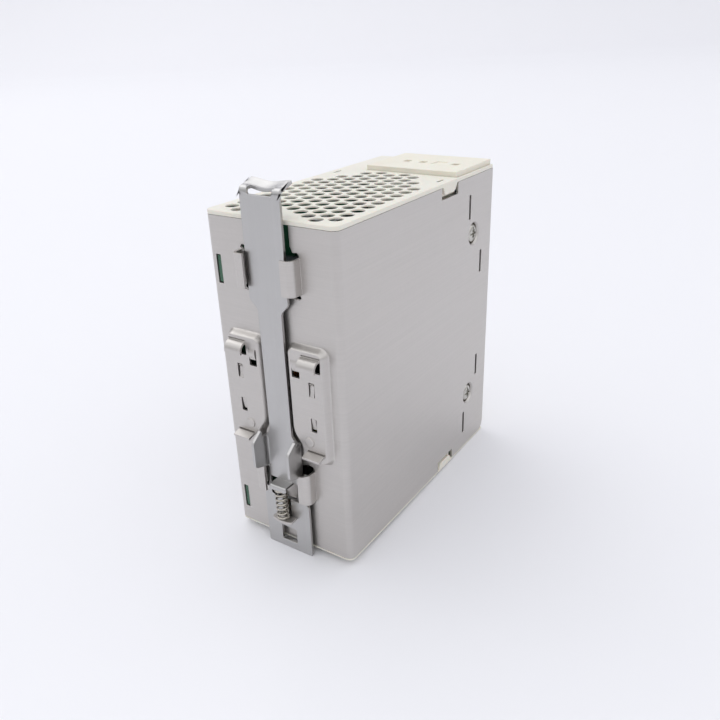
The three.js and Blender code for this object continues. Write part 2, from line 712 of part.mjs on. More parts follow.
function wireWay(x, z, from, to) {
  return box(x - ENTRY.half, x + ENTRY.half, from, to, z - ENTRY.half, z + ENTRY.half);
}

// One pole's screw, its cage clamp and the space for both; dir is 1 where screws stand above wires.
function pole(x, screwZ, entryZ) {
  const dir = Math.sign(screwZ - entryZ);
  const cageEnd = entryZ + dir * 3.2;
  const screw = cut(
    join(rod('y', x, screwZ, 2.4, 111.6, 115.2, 14), rod('y', x, screwZ, 1.4, 101.6, 112, 10)),
    box(x - 2, x + 2, 114.2, 116, screwZ - 0.4, screwZ + 0.4));
  const cage = cut(
    box(x - ENTRY.cage, x + ENTRY.cage, 101.2, 108.8, entryZ - dir * 3.1, cageEnd),
    wireWay(x, entryZ, 100, 110));
  return { screw, cage };
}

function poleCuts(x, screwZ, entryZ, open) {
  return [
    rod('y', x, screwZ, 2.7, 109, PANEL.front + 1, 14),
    wireWay(x, entryZ, 109, PANEL.front + 1),
    box(x - ENTRY.cage - GAP, x + ENTRY.cage + GAP, 100.8, 109.2, open,
      screwZ + Math.sign(screwZ - entryZ) * 2.7),
  ];
}

function outputTerminal() {
  const { left, right, back, bottom, top, first } = OUTPUT;
  const front = PANEL.front;
  const screwZ = bottom + 13;
  const entryZ = bottom + 4.3;
  const poles = [0, 1, 2, 3].map(i => first + i * POLE);
  let body = join(
    box(left, right, back, front, HEIGHT + GAP, top),
    box(left, 24.8, back, front, bottom, HEIGHT + GAP + 0.1));
  body = cut(body, ...poles.flatMap(x => poleCuts(x, screwZ, entryZ, bottom - 1)));
  // Three square test ports and one shallow recess in the top, over the four poles.
  poles.forEach((x, i) => {
    const port = i === 2 ? rect(x - 2.6, x + 2.6, 96.6, 103.4) : rect(x - 1.5, x + 1.5, 97.6, 101.6);
    body = body.subtract(prism(port, 'z', top - (i === 2 ? 0.5 : 3), top + 1));
  });
  addPart('output_terminal_body', body, IVORY);
  poles.forEach((x, i) => {
    const { screw, cage } = pole(x, screwZ, entryZ);
    addPart(`output_screw_${i + 1}`, screw, NICKEL);
    addPart(`output_clamp_${i + 1}`, cage, NICKEL);
  });
}

function inputTerminal() {
  const { half, back, bottom, top } = INPUT;
  const screwZ = 7;
  const entryZ = 16.4;
  const poles = [-1, 0, 1].map(i => i * POLE);
  const body = cut(box(-half, half, back, PANEL.front, bottom, top),
    ...poles.flatMap(x => poleCuts(x, screwZ, entryZ, top + 1)));
  addPart('input_terminal_body', body, IVORY);
  poles.forEach((x, i) => {
    const { screw, cage } = pole(x, screwZ, entryZ);
    addPart(`input_screw_${i + 1}`, screw, NICKEL);
    addPart(`input_clamp_${i + 1}`, cage, NICKEL);
  });
}

// ---------------------------------------------------------------- converter inside the case

function mainBoard() {
  const { x, thick } = BOARD;
  return join(
    box(x, x + thick, 1.8, 104.5, 4.3, 123.8),
    box(x, x + thick, 0.4, 2, 103.8, 113.7),
    box(x, x + thick, 0.4, 2, 6.5, 16),
  );
}

function heatSpreader() {
  const { x, thick } = SPREADER;
  return cut(box(x, x + thick, 58, 104, 16, 108.9),
    ...SCREWS.map(({ y, z }) => rod('x', y, z, 2.2, x - 1, x + thick + 1, 12)));
}

// A low pan-head screw with a cross recess, set in a dimple of the right wall.
function caseScrew({ y, z }) {
  const seat = HALF - DIMPLE.depth + 0.05;
  const head = HALF - 0.05;
  const disc = (x, r) => ring(y, z, r, 16).map(([u, v]) => [x, u, v]);
  return cut(
    join(loft([disc(seat, 3.7), disc(seat + 0.7, 3.75), disc(head - 0.35, 3.1), disc(head, 2)]),
      rod('x', y, z, 1.9, 20.5, seat + 0.1, 10)),
    box(head - 0.9, head + 1, y - 1.8, y + 1.8, z - 0.4, z + 0.4),
    box(head - 0.9, head + 1, y - 0.4, y + 0.4, z - 1.8, z + 1.8));
}

// A three-legged ferrite core with a coil round its middle leg; s is its half length along x.
function woundCore(name, [x, y, z], s, wrap) {
  const depth = s * 0.5;
  const leg = s * 0.38;
  const window = s * 0.5;
  const core = cut(
    box(x - s, x + s, y - depth, y + depth, z - leg - window - leg, z + leg + window + leg),
    box(x - s * 0.68, x + s * 0.68, y - depth - 1, y + depth + 1, z + leg, z + leg + window),
    box(x - s * 0.68, x + s * 0.68, y - depth - 1, y + depth + 1, z - leg - window, z - leg));
  const reach = window - GAP;
  const outer = rect(y - depth - reach, y + depth + reach, z - leg - reach, z + leg + reach, reach / 2);
  outer.holes = [rect(y - depth - GAP, y + depth + GAP, z - leg - GAP, z + leg + GAP)];
  addPart(`${name}_core`, core, FERRITE);
  addPart(`${name}_coil`, prism(outer, 'x', x - s * 0.68 + GAP, x + s * 0.68 - GAP, 2), wrap);
}

// A can capacitor lying on the board, with a rolled groove near its foot.
function canCapacitor(name, y, z, r, length, finish) {
  const disc = (x, radius) => ring(y, z, radius, 16).map(([u, v]) => [x, u, v]);
  const end = ON_BOARD + length;
  addPart(name, loft([
    disc(ON_BOARD, r), disc(ON_BOARD + 2, r), disc(ON_BOARD + 2.8, r - 0.6), disc(ON_BOARD + 3.6, r),
    disc(end - 0.6, r), disc(end, r - 0.8),
  ]), finish);
}

// A power package bolted to the heat spreader, with three legs.
function powerPackage(name, y, z, width, height) {
  const face = SPREADER.x - 0.2;
  const body = cut(box(face - 4.2, face, y, y + width, z, z + height),
    rod('x', y + width / 2, z + height - 3.4, 1.7, face - 5, face + 1, 10));
  const legs = [0.2, 0.5, 0.8].map(f => box(face - 2.6, face - 2, y + f * width - 0.5, y + f * width + 0.5,
    z - 6, z + 0.2));
  addPart(name, join(body, ...legs), BLACK);
}

function onBoard(name, length, y0, y1, z0, z1, r, finish) {
  addPart(name, prism(rect(y0, y1, z0, z1, r), 'x', ON_BOARD, ON_BOARD + length, 2), finish);
}

function converter() {
  addPart('main_board', mainBoard(), GREEN_BOARD);
  addPart('front_board', box(-24.5, 20.5, 105, 106.6, 26, 101), GREEN_BOARD);
  addPart('insulation_sheet', box(-26.85, -26.55, 5, 106.5, 4.3, 123.8), FILM);
  addPart('heat_spreader', heatSpreader(), ALUMINIUM);
  addPart('thermal_pad', box(25.1, 26.8, 62, 90, 30, 98), GREY_PAD);
  woundCore('transformer', [-6, 58, 66], 15, TAPE);
  woundCore('boost_choke', [-8.5, 24, 58], 12, COPPER);
  woundCore('filter_choke', [-10, 70, 24], 10.5, COPPER);
  canCapacitor('bulk_capacitor', 22, 98, 11, 36, SLEEVE);
  for (const i of [0, 1, 2]) canCapacitor(`output_capacitor_${i + 1}`, 56 + i * 11, 106, 5, 22, SLEEVE);
  onBoard('line_capacitor', 18, 40, 50, 10, 32, 1, YELLOW);
  onBoard('relay', 13, 86, 101, 84, 94, 0.5, BLACK);
  onBoard('inrush_thermistor', 13, 22, 27, 12, 26, 2.2, SLEEVE);
  addPart('fuse', rod('z', -18, 96, 3, 50, 71, 12), CERAMIC);
  addPart('output_heatsink', join(
    box(ON_BOARD, 10, 42, 43.6, 92, 118),
    ...[0, 1, 2, 3].map(i => box(ON_BOARD + 3 + i * 7, ON_BOARD + 4.4 + i * 7, 43.4, 50, 92, 118)),
  ), ALUMINIUM);
  powerPackage('power_transistor', 66, 42, 10.2, 15.5);
  powerPackage('output_rectifier', 66, 76, 10.2, 15.5);
  powerPackage('bridge_rectifier', 82, 34, 15, 14);
}

// ---------------------------------------------------------------- assembly

addPart('case_shell', caseShell(), STEEL);
addPart('top_cover', topCover(), IVORY);
addPart('bottom_cover', bottomCover(), IVORY);
addPart('front_panel', frontPanel(), IVORY);
addPart('front_flap', frontFlap(), IVORY);
addPart('rail_clip', railClip(), STAINLESS);
addPart('clip_spring', clipSpring(), NICKEL);
addPart('case_screw_upper', caseScrew(SCREWS[0]), NICKEL);
addPart('case_screw_lower', caseScrew(SCREWS[1]), NICKEL);
outputTerminal();
inputTerminal();
trimPot();
modeSwitch();
LIGHTS.forEach((x, i) => {
  addPart(`status_light_${i + 1}`, rod('y', x, LIGHT_Z, 1.5, 107, PANEL.front + 0.1, 12), LIGHT_PIPE);
});
converter();

// The origin is under the middle of the whole object, at the lower end of the rail clip.
model.position.set(0, (WING.tip - DEPTH) / 2, -CLIP.bottom);

export default model;
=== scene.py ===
"""Looks for the rail power supply: fine sheet metal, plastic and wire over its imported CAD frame.

Shapes are drawn in millimetres, in the drawing frame of the case: x = 0 is the middle of its
width, y = 0 the outside of its rear wall and z = 0 its lower edge. place() moves them into the
row frame, in metres. Shape lists give distances from the rear wall as "out", away from the case.
"""

import json
import math

import bmesh
import bpy
from mathutils import Matrix, Vector

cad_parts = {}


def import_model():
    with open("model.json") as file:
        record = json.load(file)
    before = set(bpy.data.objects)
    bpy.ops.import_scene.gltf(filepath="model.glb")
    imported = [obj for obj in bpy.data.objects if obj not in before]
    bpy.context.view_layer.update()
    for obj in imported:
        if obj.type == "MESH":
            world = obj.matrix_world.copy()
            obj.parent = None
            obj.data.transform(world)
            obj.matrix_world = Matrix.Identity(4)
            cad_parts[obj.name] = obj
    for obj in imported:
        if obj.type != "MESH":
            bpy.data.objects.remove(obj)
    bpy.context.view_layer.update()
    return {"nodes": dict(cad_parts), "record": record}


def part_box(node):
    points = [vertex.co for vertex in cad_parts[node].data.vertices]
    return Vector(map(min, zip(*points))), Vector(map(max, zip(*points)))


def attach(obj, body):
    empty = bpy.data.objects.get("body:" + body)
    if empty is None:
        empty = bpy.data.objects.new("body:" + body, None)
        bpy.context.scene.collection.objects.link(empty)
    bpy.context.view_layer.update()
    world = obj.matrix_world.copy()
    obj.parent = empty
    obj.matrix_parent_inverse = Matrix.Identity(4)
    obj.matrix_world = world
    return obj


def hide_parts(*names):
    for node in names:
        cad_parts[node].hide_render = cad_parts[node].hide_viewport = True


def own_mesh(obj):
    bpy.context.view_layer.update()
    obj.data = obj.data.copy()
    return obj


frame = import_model()

# ------------------------------------------------------------------ sizes, in millimetres

WIDTH, DEPTH, HEIGHT, SHEET = 56.0, 117.0, 128.0, 1.0
HALF = WIDTH / 2
INNER = HALF - SHEET
CORNER = 2.8
GAP = 0.3
MM = 0.001

RAIL_TOP, RAIL_BOTTOM = 81.8, 46.8
PAD_HEIGHT, PAD_SLOPE = 2.9, 1.9
PAD_INNER, PAD_FLARE, PAD_OUTER, PAD_TOP, PAD_BOTTOM = 7.2, 10.9, 20.8, 85.4, 42.5
HOOK_INNER, HOOK_OUTER, HOOK_TOP = 12.6, 20.2, RAIL_TOP + 2
SHELF_TOP = RAIL_BOTTOM - 0.8
CLIP_BACK, CLIP_SHEET = 1.4, 1.2
CLIP_FACE = CLIP_BACK + CLIP_SHEET
CLIP_TOP, CLIP_BOTTOM = 138.1, -3.8
WIDE, NARROW, FOOT = 8.4, 5.15, 10.7
WING_OUTER, WING_TIP, WING_NOTCH = 7.6, 9.5, 4.4
TAB_WINDOW = 5.3
LEDGE_TOP = 12.6
WINDOW_HALF, WINDOW_BOTTOM, WINDOW_TOP = 7.15, 20.2, 28.5
SPRING_OUT, SPRING_RADIUS, WIRE = CLIP_FACE + 2.7, 2.1, 0.8
COVER_LOW = HEIGHT + 0.15
COVER_TOP = COVER_LOW + 1.5
COVER_FRONT = DEPTH - 0.2
VENT_SHEET = 0.6
VENT_COLUMN, VENT_ROW, VENT_RADIUS = 5.55, 6.27, 2.5
SCREWS = ((99.8, 103.4), (99.3, 27.1))

# Angles in degrees: faces closer to flat than the first are joined, edges sharper than the second
# are eased, and shading breaks at the third, or at the fourth on pieces whose edges stay as drawn.
FLAT_ANGLE, EASE_ANGLE, SHARP_ANGLE, PLAIN_SHARP_ANGLE = 0.4, 38, 50, 35

case_low, case_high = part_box("case_shell")
SHIFT = Vector((0, case_high[1] / MM - DEPTH, case_low[2] / MM))

# ------------------------------------------------------------------ solids

AXES = {
    "x": lambda u, v, w: (w, u, v),
    "y": lambda u, v, w: (u, w, v),
    "z": lambda u, v, w: (u, v, w),
}


def solid(verts, faces):
    """A closed mesh in millimetres, with its faces turned outwards."""
    bm = bmesh.new()
    made = [bm.verts.new(v) for v in verts]
    for face in faces:
        bm.faces.new([made[i] for i in face])
    bmesh.ops.recalc_face_normals(bm, faces=bm.faces)
    mesh = bpy.data.meshes.new("solid")
    bm.to_mesh(mesh)
    bm.free()
    return mesh


def loft(rings):
    n = len(rings[0])
    faces = [tuple(range(n)), tuple(range(len(rings) * n - n, len(rings) * n))]
    for k in range(len(rings) - 1):
        for i in range(n):
            a, b = k * n + i, k * n + (i + 1) % n
            faces.append((a, b, b + n, a + n))
    return solid([p for ring in rings for p in ring], faces)


def prism(points, along, start, end):
    at = AXES[along]
    return loft([[at(u, v, w) for u, v in points] for w in (start, end)])


def box(x0, x1, y0, y1, z0, z1):
    return prism(rect(x0, x1, y0, y1), "z", z0, z1)


def rect(u0, u1, v0, v1, r=0, steps=5):
    u0, u1 = sorted((u0, u1))
    v0, v1 = sorted((v0, v1))
    corners = [(u0, v0), (u1, v0), (u1, v1), (u0, v1)]
    return fillet(corners, r, steps, closed=True) if r else corners


def circle(u, v, r, sides=32):
    angles = [math.tau * i / sides for i in range(sides)]
    return [(u + r * math.cos(a), v + r * math.sin(a)) for a in angles]


def lathe(along, u, v, profile, sides=32):
    """profile lists (place along the axis, radius) from one end to the other."""
    at = AXES[along]
    return loft([[at(a, b, w) for a, b in circle(u, v, r, sides)] for w, r in profile])


def fillet(points, radius, steps=6, closed=False):
    """Rounds the corners of a path. radius is one number, or one for each point."""
    n = len(points)
    radii = radius if isinstance(radius, (list, tuple)) else [radius] * n
    out = []
    for i, p in enumerate(points):
        if radii[i] == 0 or (not closed and i in (0, n - 1)):
            out.append(tuple(p))
            continue
        a, b, c = (Vector(points[(i + k) % n]) for k in (-1, 0, 1))
        out += arc_corner(a, b, c, radii[i], steps)
    return out


def arc_corner(a, b, c, radius, steps):
    before, after = (a - b).normalized(), (c - b).normalized()
    turn = before.angle(after)
    if turn > math.pi - 1e-3:
        return [tuple(b)]
    reach = min(radius / math.tan(turn / 2), 0.49 * (a - b).length, 0.49 * (c - b).length)
    radius = reach * math.tan(turn / 2)
    middle = b + (before + after).normalized() * (radius / math.sin(turn / 2))
    start, end = b + before * reach - middle, b + after * reach - middle
    sweep = start.angle_signed(end)
    return [tuple(middle + Matrix.Rotation(-sweep * i / steps, 2) @ start) for i in range(steps + 1)]


def offset(points, d):
    """Moves a closed outline's points outwards by d, or inwards where d is negative."""
    following = points[1:] + points[:1]
    area = sum(p[0] * q[1] - q[0] * p[1] for p, q in zip(points, following))
    d = math.copysign(d, area * d)
    return [shifted(points[i - 1], p, q, d) for i, (p, q) in enumerate(zip(points, following))]


def shifted(a, b, c, d):
    """The mitred point at distance d to the right of the path a, b, c."""
    a, b, c = Vector(a), Vector(b), Vector(c)
    after = (c - b).normalized() if (c - b).length > 1e-9 else (b - a).normalized()
    before = (b - a).normalized() if (b - a).length > 1e-9 else after
    normal = Vector((before.y + after.y, -before.x - after.x))
    return tuple(b + normal * (2 * d / normal.length_squared))


def bent(path, thickness):
    """The section of a bent sheet that lies to the right of the path."""
    last = len(path) - 1
    far = [shifted(path[max(i - 1, 0)], p, path[min(i + 1, last)], thickness) for i, p in enumerate(path)]
    return list(path) + far[::-1]


def side_sheet(path, thickness, side, inner, outer):
    """A bent sheet drawn as (out, z), as wide as inner to outer on one side of the middle."""
    points = bent([(-out, z) for out, z in path], thickness)
    return prism(points, "x", *sorted((side * inner, side * outer)))


def build(base, *steps):
    """Cuts and joins in turn. Each step is ("cut", solids), ("join", solids) or ("keep", solids)."""
    words = {"cut": "DIFFERENCE", "join": "UNION", "keep": "INTERSECT"}
    scene = bpy.context.scene
    body = bpy.data.objects.new("body", base)
    made = [body]
    for word, solids in steps:
        for tool_mesh in solids:
            tool = bpy.data.objects.new("tool", tool_mesh)
            made.append(tool)
            modifier = body.modifiers.new("step", "BOOLEAN")
            modifier.operation = words[word]
            modifier.solver = "MANIFOLD"
            modifier.object = tool
    for obj in made:
        scene.collection.objects.link(obj)
    graph = bpy.context.evaluated_depsgraph_get()
    mesh = bpy.data.meshes.new_from_object(body.evaluated_get(graph))
    for obj in made:
        bpy.data.objects.remove(obj)
    return mesh


def tidy(mesh, weld=1e-4, split=False):
    """Joins points closer than weld and flat neighbouring faces. split cuts wide faces into
    triangles, so that easing the edges of a face with many holes leaves no folds in it."""
    bm = bmesh.new()
    bm.from_mesh(mesh)
    bmesh.ops.remove_doubles(bm, verts=bm.verts, dist=weld)
    bmesh.ops.dissolve_limit(bm, angle_limit=math.radians(FLAT_ANGLE), verts=bm.verts, edges=bm.edges)
    bmesh.ops.recalc_face_normals(bm, faces=bm.faces)
    if split:
        wide = [face for face in bm.faces if len(face.verts) > 4]
        bmesh.ops.triangulate(bm, faces=wide, quad_method="BEAUTY", ngon_method="BEAUTY")
    bm.to_mesh(mesh)
    bm.free()
    return mesh


# ------------------------------------------------------------------ pieces

BODIES = frame["record"]["behaviour"]["bodies"]
BODY_OF = {node: body for body, nodes in BODIES.items() for node in nodes}


def show(name, mesh, node, finish, edge):
    """Adds a piece that stands for one CAD node, with its edges eased by edge millimetres."""
    obj = bpy.data.objects.new(name, mesh)
    bpy.context.scene.collection.objects.link(obj)
    mesh.materials.clear()
    mesh.materials.append(finish)
    mesh.shade_smooth()
    if edge:
        bevel = obj.modifiers.new("edges", "BEVEL")
        bevel.width = edge * MM
        bevel.segments = 2
        bevel.limit_method = "ANGLE"
        bevel.angle_limit = math.radians(EASE_ANGLE)
        bevel.use_clamp_overlap = False
        bevel.loop_slide = False
        bevel.miter_outer = "MITER_ARC"
        normals = obj.modifiers.new("normals", "WEIGHTED_NORMAL")
        normals.keep_sharp = True
        normals.weight = 90
    mesh.set_sharp_from_angle(angle=math.radians(SHARP_ANGLE if edge else PLAIN_SHARP_ANGLE))
    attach(obj, BODY_OF[node])
    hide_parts(node)
    return obj


def place(mesh):
    """Moves a mesh from the drawing frame into the row frame."""
    mesh.transform(Matrix.Scale(MM, 4) @ Matrix.Translation(SHIFT))
    return mesh


def drawn(name, mesh, node, finish, edge=0.12, weld=1e-4, split=False):
    return show(name, place(tidy(mesh, weld, split=split)), node, finish, edge)


def dressed(node, finish, edge):
    """The CAD node's own shape with eased edges."""
    mesh = frame["nodes"][node].data.copy()
    mesh.transform(frame["nodes"][node].matrix_world)
    bm = bmesh.new()
    bm.from_mesh(mesh)
    for layer in list(bm.loops.layers.uv.values()):
        bm.loops.layers.uv.remove(layer)
    bm.to_mesh(mesh)
    bm.free()
    mesh.transform(Matrix.Scale(1 / MM, 4))
    if mesh.has_custom_normals:
        mesh.attributes.remove(mesh.attributes["custom_normal"])
    tidy(mesh)
    mesh.transform(Matrix.Scale(MM, 4))
    return show(f"{node}_finish", mesh, node, finish, edge)


# ------------------------------------------------------------------ materials


def nodes_of(name):
    material = bpy.data.materials.new(name)
    material.use_nodes = True
    tree = material.node_tree
    return material, tree, tree.nodes["Principled BSDF"]


def node(tree, kind, inputs=None, **settings):
    made = tree.nodes.new(kind)
    for key, value in settings.items():
        setattr(made, key, value)
    for key, value in (inputs or {}).items():
        if isinstance(value, bpy.types.NodeSocket):
            tree.links.new(value, made.inputs[key])
        else:
            made.inputs[key].default_value = value
    return made


def object_points(tree, scale):
    """Object coordinates, stretched by scale in each direction, in units of one metre."""
    points = node(tree, "ShaderNodeTexCoord").outputs["Object"]
    return node(tree, "ShaderNodeMapping", {"Vector": points, "Scale": scale}).outputs[0]


def noise(tree, points, detail=3.0, rough=0.55):
    inputs = {"Vector": points, "Scale": 1.0, "Detail": detail, "Roughness": rough}
    return node(tree, "ShaderNodeTexNoise", inputs)


def maths(tree, operation, first, second=0.5):
    return node(tree, "ShaderNodeMath", {0: first, 1: second}, operation=operation).outputs[0]


def ramp(tree, value, low, high, first, last):
    made = node(tree, "ShaderNodeMapRange", {"Value": value, "From Min": low, "From Max": high,
                                             "To Min": first, "To Max": last})
    return made.outputs[0]


def mix(tree, factor, first, last):
    made = node(tree, "ShaderNodeMix", {"Factor": factor}, data_type="RGBA")
    for key, value in ((6, first), (7, last)):
        if isinstance(value, bpy.types.NodeSocket):
            tree.links.new(value, made.inputs[key])
        else:
            made.inputs[key].default_value = (*value, 1)
    return made.outputs[2]


def bump(tree, shader, height, distance, strength=1.0):
    made = node(tree, "ShaderNodeBump", {"Height": height, "Distance": distance, "Strength": strength})
    tree.links.new(made.outputs[0], shader.inputs["Normal"])


def painted_inside_shade(tree):
    """1 on the inner faces of the case's walls, where the dark inner colour is painted shade, and 0 outside.
    """
    points = node(tree, "ShaderNodeTexCoord").outputs["Object"]
    x, y, _ = node(tree, "ShaderNodeSeparateXYZ", {0: points}).outputs
    margin = 0.05
    between_sides = maths(tree, "LESS_THAN", maths(tree, "ABSOLUTE", x), (INNER + margin) * MM)
    before_rear = maths(tree, "GREATER_THAN", y, (SHEET - margin + SHIFT.y) * MM)
    return maths(tree, "MULTIPLY", between_sides, before_rear)


def metal(name, light, dark, grain, rough, metallic=1.0, streak=0.5, inner=None):
    """Rolled or brushed metal. grain is the stretch of its streaks, rough a pair of roughnesses."""
    material, tree, shader = nodes_of(name)
    shader.inputs["Metallic"].default_value = metallic
    lines = noise(tree, object_points(tree, grain), 4.0, 0.6).outputs[0]
    clouds = noise(tree, object_points(tree, (55, 55, 55)), 5.0, 0.6).outputs[0]
    spots = noise(tree, object_points(tree, (900, 900, 900)), 2.0, 0.5).outputs[0]
    from_lines = ramp(tree, lines, 0.3, 0.7, 0, streak)
    tone = maths(tree, "ADD", from_lines, ramp(tree, clouds, 0.3, 0.7, 0, 1 - streak))
    colour = mix(tree, tone, dark, light)
    # inner, when given, is painted shade: a dark colour laid on the case's inner faces.
    if inner:
        colour = mix(tree, painted_inside_shade(tree), colour, inner)
    tree.links.new(colour, shader.inputs["Base Color"])
    worn = maths(tree, "ADD", clouds, ramp(tree, spots, 0.2, 0.8, -0.12, 0.12))
    tree.links.new(ramp(tree, worn, 0.3, 0.7, *rough), shader.inputs["Roughness"])
    bump(tree, shader, lines, 0.00001, 0.5)
    return material


def plastic(name, colour, shade, rough, grain=2500, depth=0.000012, soft=0.0, coat=0.0):
    """Moulded plastic with a fine spark-eroded texture and faint patches of tone."""
    material, tree, shader = nodes_of(name)
    clouds = noise(tree, object_points(tree, (70, 70, 70)), 4.0, 0.6).outputs[0]
    texture = noise(tree, object_points(tree, (grain, grain, grain)), 2.0, 0.6).outputs[0]
    tree.links.new(mix(tree, ramp(tree, clouds, 0.3, 0.7, 0, 1), shade, colour), shader.inputs["Base Color"])
    tree.links.new(ramp(tree, texture, 0.3, 0.7, rough - 0.06, rough + 0.06), shader.inputs["Roughness"])
    shader.inputs["Subsurface Weight"].default_value = soft
    shader.inputs["Subsurface Scale"].default_value = 0.002
    shader.inputs["Coat Weight"].default_value = coat
    bump(tree, shader, texture, depth)
    return material


def windings(name, light, dark, spacing, direction):
    """Turns of wire or tape, side by side along one direction."""
    material, tree, shader = nodes_of(name)
    inputs = {"Vector": object_points(tree, (1, 1, 1)), "Scale": 0.31 / spacing, "Distortion": 0.4,
              "Detail": 1.0, "Detail Scale": 0.5}
    turns = node(tree, "ShaderNodeTexWave", inputs, wave_type="BANDS", bands_direction=direction,
                 wave_profile="SIN").outputs["Fac"]
    tree.links.new(mix(tree, turns, dark, light), shader.inputs["Base Color"])
    shader.inputs["Roughness"].default_value = 0.35
    bump(tree, shader, turns, spacing * 0.4)
    return material


# The steel's dark inner colour is painted shade inside the case.
STEEL = metal("case_steel", (0.595, 0.57, 0.55), (0.53, 0.51, 0.49), (18, 18, 1900), (0.32, 0.45), 0.92, 0.45,
              inner=(0.15, 0.135, 0.115))
CLIP = metal("clip_stainless", (0.53, 0.525, 0.52), (0.48, 0.475, 0.47), (1500, 1500, 10), (0.28, 0.36),
             streak=0.35)
NICKEL = metal("nickel", (0.56, 0.53, 0.48), (0.42, 0.39, 0.34), (400, 400, 400), (0.14, 0.28))
ZINC = metal("zinc", (0.62, 0.61, 0.57), (0.42, 0.41, 0.38), (300, 300, 300), (0.18, 0.34))
ALUMINIUM = metal("aluminium", (0.62, 0.63, 0.64), (0.5, 0.51, 0.52), (30, 30, 1400), (0.3, 0.45))
IVORY = plastic("ivory_plastic", (0.78, 0.755, 0.675), (0.74, 0.715, 0.635), 0.46, soft=0.08)
FRONT_IVORY = plastic("front_ivory", (0.79, 0.76, 0.66), (0.75, 0.72, 0.62), 0.46, soft=0.08)
BOARD = plastic("circuit_board", (0.012, 0.10, 0.045), (0.008, 0.07, 0.03), 0.35, 700, 0.00002, coat=0.4)
FILM = plastic("insulating_film", (0.20, 0.18, 0.12), (0.16, 0.145, 0.095), 0.4, 300)
SILICONE = plastic("thermal_silicone", (0.20, 0.23, 0.27), (0.17, 0.20, 0.24), 0.8, 1200, 0.00003)
FERRITE = plastic("ferrite", (0.03, 0.03, 0.032), (0.02, 0.02, 0.022), 0.7, 1500, 0.00003)
SLEEVE = plastic("sleeve", (0.02, 0.022, 0.03), (0.015, 0.016, 0.022), 0.3, 500, coat=0.3)
EPOXY = plastic("black_epoxy", (0.02, 0.02, 0.02), (0.012, 0.012, 0.012), 0.55)
YELLOW = plastic("yellow_case", (0.62, 0.46, 0.06), (0.56, 0.40, 0.05), 0.4)
CERAMIC = plastic("ceramic", (0.72, 0.69, 0.60), (0.66, 0.63, 0.54), 0.35)
BLUE = plastic("blue_plastic", (0.03, 0.10, 0.36), (0.025, 0.08, 0.3), 0.4)
WHITE = plastic("white_knob", (0.75, 0.74, 0.70), (0.70, 0.69, 0.65), 0.4)
LIGHT = plastic("light_pipe", (0.42, 0.62, 0.40), (0.38, 0.58, 0.36), 0.12, 300, 0.000002, soft=0.3)
TAPE = windings("winding_tape", (0.62, 0.42, 0.05), (0.40, 0.26, 0.03), 0.004, "X")
COPPER = windings("copper_wire", (0.55, 0.20, 0.06), (0.16, 0.05, 0.015), 0.0011, "X")

# ------------------------------------------------------------------ steel case


def wrap_outline():
    """The folded sheet seen from above: outside, then inside."""
    outside = fillet([(-HALF, DEPTH), (-HALF, 0), (HALF, 0), (HALF, DEPTH)], CORNER, 14)
    inside = fillet([(INNER, DEPTH), (INNER, SHEET), (-INNER, SHEET), (-INNER, DEPTH)], CORNER - SHEET, 14)
    return outside + inside


def pad_outline(side):
    r = 1.6
    upper = fillet([(PAD_INNER, 55), (PAD_INNER, PAD_TOP), (PAD_OUTER, PAD_TOP), (PAD_OUTER, PAD_BOTTOM),
                    (PAD_FLARE, PAD_BOTTOM), (PAD_FLARE, 45.5)], [0, r, r, r, 1.2, 0], 8)
    points = [Vector(p) for p in ((PAD_FLARE, 45.5), (PAD_FLARE, 50), (PAD_INNER, 50.5), (PAD_INNER, 55))]
    steps = 14
    curve = [bezier(points, i / steps) for i in range(1, steps)]
    return [(side * x, z) for x, z in upper + curve]


def bezier(points, t):
    while len(points) > 1:
        points = [a.lerp(b, t) for a, b in zip(points, points[1:])]
    return tuple(points[0])


def pad(side, level):
    outline = pad_outline(side)
    steps = 12
    profile = [(PAD_SLOPE, level + 0.4)]
    for i in range(steps + 1):
        t = i / steps
        profile.append((PAD_SLOPE * (1 - t), level - PAD_HEIGHT * t * t * (3 - 2 * t)))
    return loft([[(x, y, z) for x, z in offset(outline, d)] for d, y in profile])


def rail_hook(side):
    r = 3.25
    middle = HOOK_TOP - r
    curl = [(PAD_HEIGHT + r * math.sin(a), middle + r * math.cos(a)) for a in
            (math.radians(8 + 82 * i / 14) for i in range(15))]
    path = [(PAD_HEIGHT - 0.9, HOOK_TOP)] + curl + [(PAD_HEIGHT + r - 0.02, HOOK_TOP - 4.2)]
    return side_sheet(path, -SHEET, side, HOOK_INNER, HOOK_OUTER)


def rail_shelf(side):
    path = fillet([(PAD_HEIGHT - 0.9, SHELF_TOP), (PAD_HEIGHT + 0.5, SHELF_TOP),
                   (PAD_HEIGHT + 3.7, SHELF_TOP - 0.7)], 1.5)
    return side_sheet(path, -SHEET, side, HOOK_INNER, HOOK_OUTER)


def contact_tongue(side):
    points = [(-0.1, 82), (0.35, 81), (0.55, 80), (0.4, 78.7), (-0.2, 77.3)]
    path = fillet([(PAD_HEIGHT + out, z) for out, z in points], 1.5, 5)
    return side_sheet(path, -0.8, side, 8 + GAP, 11.4 - GAP)


def small_tongues(side):
    rising = fillet([(PAD_HEIGHT - 0.1, 68.4), (PAD_HEIGHT - 0.5, 70.4), (PAD_HEIGHT - 0.6, 73),
                     (PAD_HEIGHT - 0.1, 73.7)], 0.5, 4)
    falling = fillet([(PAD_HEIGHT - 0.1, 60.6), (PAD_HEIGHT - 0.3, 58.8), (PAD_HEIGHT - 0.8, 55.5)], 0.8, 4)
    return [side_sheet(rising, 0.7, side, 15.35, 17.1), side_sheet(falling, -0.7, side, 15.35, 17.1)]


